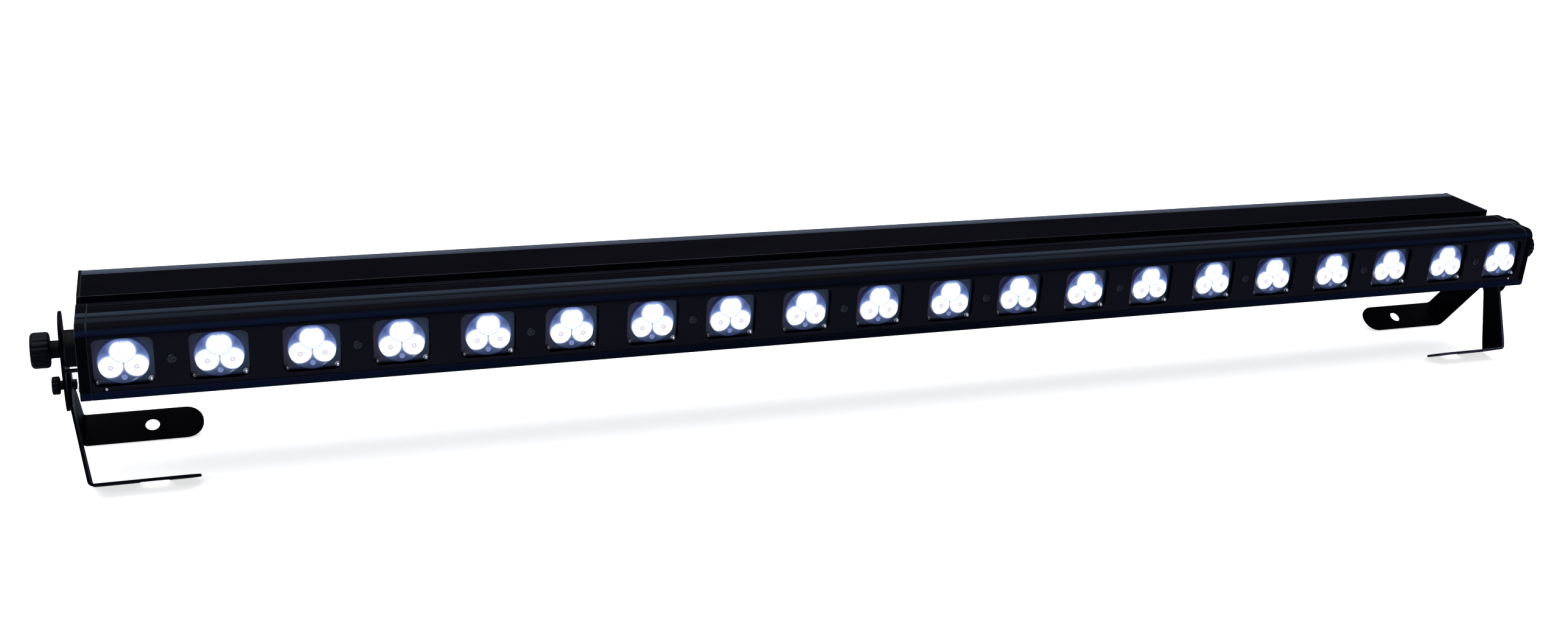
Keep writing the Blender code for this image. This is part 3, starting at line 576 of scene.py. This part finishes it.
# A darker copy of the zinc, as painted shade for the left clips.
SHADED_ZINC = metal("shaded_zinc", (0.16, 0.17, 0.20), (0.24, 0.25, 0.29), 0.4, (700, 80, 700))
LOOKS = {
    "anodised_black": anodised("satin_anodised"),
    "painted_black": powder_coat("matt_paint", (0.0020, 0.0020, 0.0032),
                                 (0.0032, 0.0031, 0.0048), 0.7),
    "bracket_black": powder_coat("bracket_paint", (0.0010, 0.0011, 0.0020),
                                 (0.0016, 0.0017, 0.0030), 0.45, 1400.0),
    "moulded_black": moulded("moulded_nylon", (0.0018, 0.0022, 0.0038),
                             (0.0030, 0.0036, 0.0060), 0.45, specular=0.06),
    "lens_acrylic": lit_acrylic(),
    "window_acrylic": smoked_acrylic(),
    "steel": metal("blackened_steel", (0.032, 0.034, 0.042), (0.062, 0.065, 0.078), 0.34,
                   (700, 90, 700)),
    "aluminium": metal("plain_aluminium", (0.62, 0.63, 0.66), (0.72, 0.73, 0.76), 0.35,
                       (30, 1500, 1500)),
    "board_black": circuit_board("black_solder_mask", (0.004, 0.005, 0.010),
                                 (0.010, 0.012, 0.022)),
    "board_green": circuit_board("green_solder_mask", (0.008, 0.080, 0.030),
                                 (0.020, 0.140, 0.050)),
    "button_grey": moulded("silicone_rubber", (0.055, 0.056, 0.062), (0.075, 0.076, 0.082), 0.6,
                           2200.0),
}
# The end caps and the front housing are satin anodised with the housing's painted highlights.
HIGHLIGHTED_CAP = anodised("highlighted_cap", highlight_bands=housing_highlights)
NODE_LOOKS = {
    "front_end_cap_left": HIGHLIGHTED_CAP,
    "front_end_cap_right": HIGHLIGHTED_CAP,
    "front_housing": anodised("highlighted_housing", highlight_bands=housing_highlights),
    "front_bezel": anodised("satin_bezel", (0.0072, 0.0065, 0.0122), (0.0092, 0.0086, 0.0155),
                            specular=0.05),
    # The rear cover and box are satin anodised with a painted highlight along the cover's fold.
    "rear_cover": anodised("highlighted_cover", highlight_bands=cover_highlights),
    "rear_box": anodised("highlighted_box", highlight_bands=cover_highlights),
}
# The edges' first colours are painted highlights, lighter and bluer than the faces, and their
# second colours are wear.
COATED_EDGE = edge_wear_and_sheen("coated_edge", (0.004, 0.0055, 0.010), (0.020, 0.024, 0.034), 0.4, 0.2)
BRACKET_EDGE = edge_wear_and_sheen("bracket_edge", (0.040, 0.055, 0.100), (0.070, 0.085, 0.130), 0.32)
MOULDED_EDGE = edge_wear_and_sheen("moulded_edge", (0.007, 0.009, 0.014), (0.014, 0.016, 0.022), 0.4, 0.3)
EDGE_LOOKS = {"anodised_black": COATED_EDGE, "painted_black": COATED_EDGE,
              "bracket_black": BRACKET_EDGE, "moulded_black": MOULDED_EDGE}


# --- carried-over nodes -------------------------------------------------------------------
def softening():
    """Geometry nodes that join a node's triangles into one smooth-shaded skin."""
    tree = bpy.data.node_groups.new("softening", "GeometryNodeTree")
    tree.interface.new_socket("Geometry", in_out="INPUT", socket_type="NodeSocketGeometry")
    tree.interface.new_socket("Geometry", in_out="OUTPUT", socket_type="NodeSocketGeometry")
    plain = tree.nodes.new("GeometryNodeRemoveAttribute")
    plain.inputs["Name"].default_value = "custom_normal"
    merge = tree.nodes.new("GeometryNodeMergeByDistance")
    merge.inputs["Distance"].default_value = MERGE_WITHIN * MM
    faces = tree.nodes.new("GeometryNodeSetShadeSmooth")
    edges = tree.nodes.new("GeometryNodeSetShadeSmooth")
    edges.domain = "EDGE"
    steps = (tree.nodes.new("NodeGroupInput"), plain, merge, faces, edges,
             tree.nodes.new("NodeGroupOutput"))
    for source, target in zip(steps, steps[1:]):
        tree.links.new(source.outputs["Geometry"], target.inputs["Geometry"])
    return tree


def soften(piece, width):
    """Round the sharp edges of a piece by a width in millimetres, in its second material."""
    edge = piece.modifiers.new("edges", "BEVEL")
    edge.material = 1
    edge.width = width * MM
    edge.segments = 2
    edge.limit_method = "ANGLE"
    edge.angle_limit = math.radians(SHARP)
    edge.harden_normals = True


def dress_nodes():
    """Give every node of the CAD its finish, a smooth skin and rounded edges."""
    tree = softening()
    for part in frame["record"]["subparts"]:
        node = nodes[part["node"]]
        slot = part["material_slot"]
        node.data.materials.clear()
        node.data.materials.append(NODE_LOOKS.get(part["node"], LOOKS[slot]))
        node.data.materials.append(EDGE_LOOKS.get(slot, LOOKS[slot]))
        node.modifiers.new("softening", "NODES").node_group = tree
        flat = node.modifiers.new("flat_faces", "DECIMATE")
        flat.decimate_type = "DISSOLVE"
        flat.angle_limit = math.radians(FLAT)
        soften(node, EDGE_WIDTH[slot])


# --- mesh tools ---------------------------------------------------------------------------
def smooth(mesh):
    """Smooth shading apart from the sharp edges."""
    mesh.shade_smooth()
    mesh.set_sharp_from_angle(angle=math.radians(SMOOTH))
    return mesh


def finish(shell, name):
    """A mesh from a bmesh built in millimetres."""
    bmesh.ops.remove_doubles(shell, verts=shell.verts, dist=MERGE_WITHIN)
    bmesh.ops.recalc_face_normals(shell, faces=shell.faces)
    bmesh.ops.scale(shell, vec=(MM, MM, MM), verts=shell.verts)
    mesh = bpy.data.meshes.new(name)
    shell.to_mesh(mesh)
    shell.free()
    return smooth(mesh)


def put(name, mesh, at, body, look, replaces=()):
    """A piece at a point in metres, on a body, standing for the CAD nodes it replaces."""
    if not mesh.materials:
        mesh.materials.append(look)
    piece = add_object(name, mesh)
    piece.location = at
    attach(piece, body)
    if replaces:
        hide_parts(*replaces)
    return piece


def revolve(shell, profile, segments, centre=(0.0, 0.0), axis="Y", reach_at=None):
    """Turn (radius, station, form) points about an axis, closing any end on the axis.

    Stations run along the axis. reach_at turns a ring's radius and form, and an angle, into
    the real radius there.
    """
    rings = []
    for radius, station, form in profile:
        count = 1 if radius == 0 else segments
        ring = []
        for step in range(count):
            angle = 2 * math.pi * step / segments
            reach = reach_at(radius, form, angle) if form else radius
            a = centre[0] + reach * math.cos(angle)
            b = centre[1] + reach * math.sin(angle)
            place = (a, station, b) if axis == "Y" else (station, a, b)
            ring.append(shell.verts.new(place))
        rings.append(ring)
    for one, two in zip(rings, rings[1:]):
        for step in range(segments):
            after = (step + 1) % segments
            if len(one) == 1 and len(two) == 1:
                break
            if len(one) == 1:
                shell.faces.new((one[0], two[after], two[step]))
            elif len(two) == 1:
                shell.faces.new((one[step], one[after], two[0]))
            else:
                shell.faces.new((one[step], one[after], two[after], two[step]))


def turned(name, profile, segments, **how):
    """A mesh of one revolved profile."""
    shell = bmesh.new()
    revolve(shell, profile, segments, **how)
    return finish(shell, name)


# --- lens modules -------------------------------------------------------------------------
def carrier_reach(radius, form, angle):
    """From a circle at form 0 to the carrier's rounded square at form 1."""
    square = (abs(2 * math.cos(angle) / CARRIER_WIDE) ** 10
              + abs(2 * math.sin(angle) / CARRIER_TALL) ** 10) ** -0.1
    return radius + (square - HOLDER_R) * form


def dome_profile(front, base):
    """A lens, fuller than a sphere, on a short foot, with a dimple in front of its die."""
    foot = base - LENS_FOOT
    points = [(0, base + 0.6, 0), (LENS_R, base + 0.6, 0), (LENS_R, foot, 0)]
    for step in range(1, 8):
        angle = math.radians(step * 90 / 8)
        points.append((LENS_R * math.cos(angle) ** 0.6,
                       foot - (LENS_RISE - LENS_FOOT) * math.sin(angle), 0))
    return points + [(1.9, front + 0.02, 0), (1.4, front + 0.25, 0), (0.8, front + 0.35, 0),
                     (0, front + 0.38, 0)]


def make_lens_mesh(front, back):
    """Square carrier, round holder with a raised rim, three lenses and the moulding pip.

    Front and back are the module's stations in millimetres behind its origin.
    """
    shell = bmesh.new()
    base = front + LENS_RISE
    seat = back - CARRIER_THICK
    rim = HOLDER_R
    profile = [(0, back, 0), (rim, back, 1), (rim, seat + 0.3, 1), (rim - 0.3, seat, 1),
               (rim, seat, 0.5), (rim, seat, 0), (rim, base + 0.5, 0),
               (rim - 0.2, base + 0.1, 0), (rim - 0.6, base - 0.1, 0),
               (rim - 1.0, base + 0.1, 0), (rim - 1.3, base + 0.35, 0),
               (rim / 2, base + 0.35, 0), (0, base + 0.35, 0)]
    revolve(shell, profile, 96, reach_at=carrier_reach)
    for centre in LENS_AT:
        revolve(shell, dome_profile(front, base), 40, centre)
    revolve(shell, [(0, base + 0.5, 0), (PIP_R, base + 0.5, 0), (PIP_R, base - 0.1, 0),
                    (PIP_R - 0.3, base - 0.35, 0), (0.7, base - 0.35, 0), (0.6, base - 0.1, 0),
                    (0, base - 0.1, 0)], 20, PIP_AT)
    return finish(shell, "lens_module")


def clip_mesh():
    """A domed post with a collar at its foot, its tip at the origin."""
    collar = CLIP_R + 0.5
    profile = [(0, CLIP_TALL, 0), (collar, CLIP_TALL, 0), (collar, CLIP_TALL - 0.4, 0),
               (CLIP_R, CLIP_TALL - 0.6, 0)]
    for step in range(6):
        angle = math.radians(step * 90 / 6)
        profile.append((CLIP_R * math.cos(angle), CLIP_R * (1 - math.sin(angle)), 0))
    return turned("lens_clip", profile + [(0, 0, 0)], 24)


def make_cells():
    """Optics for every cell, with a clip at each side, the left one in a darker copy of the zinc
    as painted shade.
    """
    face = box_of("front_bezel")[0].y
    low, high = box_of(cells[0])
    front, back = (low.y - face) / MM, (high.y - face) / MM
    mesh = make_lens_mesh(front, back)
    tip = back - CARRIER_THICK - CLIP_GAP - CLIP_TALL
    clips = (("left", CLIP_AT[0], clip_mesh(), SHADED_ZINC),
             ("right", CLIP_AT[1], clip_mesh(), ZINC))
    for name in cells:
        at = middle_of(name)
        at.y = face
        put(name.replace("module", "optics"), mesh, at, "housing", LOOKS["lens_acrylic"],
            (name,))
        for side, (x, z), clip, look in clips:
            put(f"{name.replace('module', 'clip')}_{side}", clip,
                at + Vector((x, tip, z)) * MM, "housing", look)


# --- screws -------------------------------------------------------------------------------
def screw_mesh(name, radius, proud, turn=0):
    """A pan head with a cross recess, its rim on the plane of its origin.

    It faces the front until it is turned about Z, in degrees.
    """
    profile = [(0, HEAD_ROOT, 0), (radius, HEAD_ROOT, 0), (radius, -proud * HEAD_RIM, 0)]
    for step in range(1, 5):
        angle = math.radians(step * 90 / 4)
        profile.append((radius * (HEAD_FLAT + (1 - HEAD_FLAT) * math.cos(angle)),
                        -proud * (HEAD_RIM + (1 - HEAD_RIM) * math.sin(angle)), 0))
    head = add_object(name, turned(name, profile + [(0, -proud, 0)], 28))
    shell = bmesh.new()
    arm, span = radius * RECESS_ARM, radius * RECESS_SPAN
    for wide, tall in ((arm, span), (span, arm)):
        cut = bmesh.ops.create_cube(shell, size=2.0)["verts"]
        bmesh.ops.scale(shell, vec=(wide, proud * RECESS_DEPTH, tall), verts=cut)
        bmesh.ops.translate(shell, vec=(0, -proud, 0), verts=cut)
    tool = add_object("recess", finish(shell, "recess"))
    step = head.modifiers.new("recess", "BOOLEAN")
    step.operation = "DIFFERENCE"
    step.solver = "EXACT"
    step.use_self = True
    step.object = tool
    bpy.context.view_layer.update()
    graph = bpy.context.evaluated_depsgraph_get()
    mesh = bpy.data.meshes.new_from_object(head.evaluated_get(graph))
    mesh.name = name
    smooth(mesh)
    for made in (head, tool):
        bpy.data.objects.remove(made, do_unlink=True)
    if turn:
        mesh.transform(Matrix.Rotation(math.radians(turn), 4, "Z"))
    return mesh


def put_screw(name, mesh, at):
    put(name, mesh, at, "housing", LOOKS["steel"])


def make_front_screws():
    """Bezel screws half way between every other pair of cells, and a bright pin at each end."""
    low = box_of("front_bezel")[0]
    mesh = screw_mesh("bezel_screw", *BEZEL_SCREW)
    for index in range(0, len(cells), 2):
        at = (middle_of(cells[index]) + middle_of(cells[index + 1])) / 2
        at.y = low.y
        put_screw(f"bezel_screw_{index // 2 + 1:02d}", mesh, at)
    pin = turned("bezel_pin", [(0, 1.0, 0), (PIN_R, 1.0, 0), (PIN_R, -0.25, 0),
                               (PIN_R - 0.2, -0.45, 0), (0, -0.5, 0)], 16)
    for (side, name), cell in zip(ENDS, (cells[0], cells[-1])):
        at = Vector((middle_of(cell).x + side * PIN_OUT * MM, low.y, low.z + PIN_UP * MM))
        put(f"bezel_pin_{name}", pin, at, "housing", ZINC)


def make_rear_screws():
    """Cover screws along the rear panel's top and bottom edges."""
    low, high = box_of("rear_cover")
    mesh = screw_mesh("cover_screw", *COVER_SCREW, turn=180)
    inset = SCREW_INSET * MM
    first, last = low.x + 4 * inset, high.x - 4 * inset
    for row, z in (("lower", low.z + inset), ("upper", high.z - inset)):
        for index in range(COVER_SCREWS):
            x = first + (last - first) * index / (COVER_SCREWS - 1)
            put_screw(f"cover_screw_{row}_{index + 1}", mesh, Vector((x, high.y, z)))


def make_end_screws():
    """Two screws in each front end cap and four in each rear end plate."""
    inset = SCREW_INSET * MM
    for side, name in ENDS:
        mesh = screw_mesh(f"end_screw_{name}", *END_SCREW, turn=side * 90)
        for node, spots in ((f"front_end_cap_{name}", ((0, 0), (0, 1))),
                            (f"rear_end_plate_{name}", ((0, 0), (0, 1), (1, 0), (1, 1)))):
            low, high = box_of(node)
            x = high.x if side > 0 else low.x
            for number, (back, up) in enumerate(spots, 1):
                y = high.y - inset if back else low.y + inset
                z = high.z - inset if up else low.z + inset
                put_screw(f"{node}_screw_{number}", mesh, Vector((x, y, z)))


# --- seals, sockets and display -----------------------------------------------------------
def loop(low, high, radii, steps=6):
    """A rounded rectangle as points, its corner radii anticlockwise from the low corner."""
    corners = ((low[0], low[1]), (high[0], low[1]), (high[0], high[1]), (low[0], high[1]))
    points = []
    for index, ((a, b), radius) in enumerate(zip(corners, radii)):
        centre_a = a + radius * (1 if index in (0, 3) else -1)
        centre_b = b + radius * (1 if index in (0, 1) else -1)
        for step in range(steps + 1):
            angle = math.pi + (index + step / steps) * math.pi / 2
            points.append((centre_a + radius * math.cos(angle),
                           centre_b + radius * math.sin(angle)))
    return points


def ring_mesh(name, outer, inner, near, far, axis):
    """A flat ring between two loops of equally many points, from one station to another."""
    shell = bmesh.new()
    rings = []
    for points, station in ((outer, near), (inner, near), (inner, far), (outer, far)):
        rings.append([shell.verts.new((a, station, b) if axis == "Y" else (station, a, b))
                      for a, b in points])
    count = len(outer)
    for one, two in zip(rings, rings[1:] + rings[:1]):
        for step in range(count):
            after = (step + 1) % count
            shell.faces.new((one[step], one[after], two[after], two[step]))
    return finish(shell, name)


def make_seals():
    """Thin rubber seals in the joints between the housings and their ends."""
    for side, name in ENDS:
        for node, radii in ((f"front_end_cap_{name}", CAP_CORNERS),
                            (f"rear_end_plate_{name}", PLATE_CORNERS)):
            low, high = box_of(node)
            inner_face = (low.x if side > 0 else high.x) / MM
            near = inner_face - side * SEAL_GAP
            loops = []
            for inset in SEAL_INSETS:
                loops.append(loop((low.y / MM + inset, low.z / MM + inset),
                                  (high.y / MM - inset, high.z / MM - inset),
                                  [max(radius - inset, LEAST_CORNER) for radius in radii]))
            mesh = ring_mesh(node.replace("end", "seal", 1), *loops, near,
                             near - side * SEAL_THICK, "X")
            put(f"{node}_seal", mesh, Vector(), "housing", RUBBER)


def rounded_block(name, wide, deep, tall, edge):
    """A block with rounded edges, its near face on the plane of its origin."""
    shell = bmesh.new()
    verts = bmesh.ops.create_cube(shell, size=1.0)["verts"]
    bmesh.ops.scale(shell, vec=(wide, deep, tall), verts=verts)
    bmesh.ops.translate(shell, vec=(0, deep / 2, 0), verts=verts)
    bmesh.ops.bevel(shell, geom=shell.edges[:], offset=edge, segments=2, affect="EDGES",
                    profile=0.5)
    return finish(shell, name)


def around(centre, radius, degrees):
    angle = math.radians(degrees)
    return centre + Vector((math.cos(angle), 0, math.sin(angle))) * radius * MM


def make_sockets():
    """Flange screws, gilt contacts and the latch of the four sockets."""
    screw = screw_mesh("socket_screw", *SOCKET_SCREW, turn=180)
    blade = rounded_block("power_contact", 3.6, 8.0, 0.9, 0.25)
    latch = rounded_block("data_latch", 7.0, 0.9, 2.4, 0.3)
    pin = turned("data_pin", [(0, -13.2, 0), (0.95, -13.2, 0), (0.95, -3.6, 0), (0.6, -3.0, 0),
                              (0, -2.9, 0)], 16)
    tube = [(1.1, -6.0, 0), (1.1, -1.5, 0), (0.95, -1.35, 0), (0.75, -1.5, 0), (0.75, -6.0, 0)]
    sleeve = turned("data_sleeve", tube + tube[:1], 16)
    for name in ("power_inlet", "data_in", "data_out", "power_outlet"):
        face = middle_of(name)
        face.y = box_of(name)[1].y
        flange = face - Vector((0, FLANGE_BACK, 0)) * MM
        for corner, (x, z) in FLANGE_SCREWS:
            put_screw(f"{name}_screw_{corner}", screw, flange + Vector((x, 0, z)) * MM)
        if name.startswith("power"):
            for number, degrees in enumerate(POWER_ANGLES, 1):
                at = around(face, POWER_CIRCLE, degrees) - Vector((0, POWER_BACK, 0)) * MM
                piece = put(f"{name}_contact_{number}", blade, at, "housing", GOLD)
                piece.rotation_euler.y = math.radians(90 - degrees)
        else:
            mesh = pin if name == "data_in" else sleeve
            for number, degrees in enumerate(DATA_ANGLES, 1):
                put(f"{name}_contact_{number}", mesh, around(face, DATA_CIRCLE, degrees),
                    "housing", GOLD)
        if name == "data_out":
            put("data_out_latch", latch, flange + Vector((0, -LATCH_BACK, LATCH_UP)) * MM,
                "housing", ZINC)


def make_display_frame():
    """A raised rim round the display window."""
    low, high = box_of("display_window")
    face = box_of("rear_cover")[1].y / MM
    loops = [loop((low.x / MM - wide, low.z / MM - wide),
                  (high.x / MM + wide, high.z / MM + wide), [radius] * 4)
             for wide, radius in FRAME_LOOPS]
    mesh = ring_mesh("display_frame", *loops, face + FRAME_GAP, face + FRAME_PROUD, "Y")
    put("display_frame", mesh, Vector(), "housing", LOOKS["moulded_black"])


# --- knobs --------------------------------------------------------------------------------
def tilt_profile(length, outer):
    """A bored hub, then a fluted grip with a dished face, from the inner end outwards."""
    return [(0, BORE_DEPTH, 0), (BORE_R, BORE_DEPTH, 0), (BORE_R, 0, 0), (HUB_R - 0.4, 0, 0),
            (HUB_R, 0.4, 0), (HUB_R, HUB_LONG - 0.6, 0), (HUB_R + 0.3, HUB_LONG, 0),
            (outer - 1.4, HUB_LONG, 0.1), (outer - 0.5, HUB_LONG + 0.4, 0.3),
            (outer, HUB_LONG + 1.4, 0.5), (outer, length - 1.8, 0.5),
            (outer - 0.5, length - 0.7, 0.3), (outer - 1.2, length - 0.2, 0.1),
            (outer - 1.6, length, 0), (outer - 2.6, length, 0),
            (outer - 3.0, length - DISH, 0), (3.4, length - DISH, 0), (3.0, length - 0.3, 0),
            (0, length - 0.2, 0)]


def thumb_profile(length, outer):
    """A plain shank and a collar, then a fluted grip, from the inner end outwards."""
    neck = length - THUMB_LONG
    collar = neck - COLLAR_LONG
    return [(0, 0, 0), (THREAD_R - 0.2, 0, 0), (THREAD_R, 0.2, 0), (THREAD_R, collar, 0),
            (COLLAR_R - 0.2, collar, 0), (COLLAR_R, collar + 0.2, 0), (COLLAR_R, neck, 0),
            (outer - 0.9, neck, 0.1), (outer - 0.2, neck + 0.3, 0.4), (outer, neck + 0.8, 0.5),
            (outer, length - 0.8, 0.5), (outer - 0.3, length - 0.3, 0.4),
            (outer - 1.1, length, 0), (2.2, length, 0), (1.9, length - 0.4, 0),
            (0, length - 0.4, 0)]


def make_knob(name, node, side, profile_of, segments, flutes):
    """A turned knob on its node's place, with a flute depth for each point of its profile."""
    def flute(radius, depth, angle):
        return radius - depth * (0.5 - 0.5 * math.cos(flutes * angle)) ** 2

    low, high = box_of(node)
    profile = profile_of((high.x - low.x) / MM, (high.z - low.z) / 2 / MM)
    mesh = turned(name, [(radius, side * station, depth) for radius, station, depth in profile],
                  segments, axis="X", reach_at=flute)
    at = middle_of(node)
    at.x = low.x if side > 0 else high.x
    put(name, mesh, at, body_of_node[node], LOOKS["moulded_black"], (node,))


def make_knobs():
    """Fluted tilt knobs and thumb screws, with chamfered grips."""
    for side, name in ENDS:
        make_knob(f"tilt_knob_grip_{name}", f"tilt_knob_{name}", side, tilt_profile, 180, 18)
        make_knob(f"thumb_screw_{name}", f"lock_screw_{name}", side, thumb_profile, 120, 12)


make_camera()
make_studio()
dress_nodes()
make_cells()
make_front_screws()
make_rear_screws()
make_end_screws()
make_seals()
make_sockets()
make_display_frame()
make_knobs()
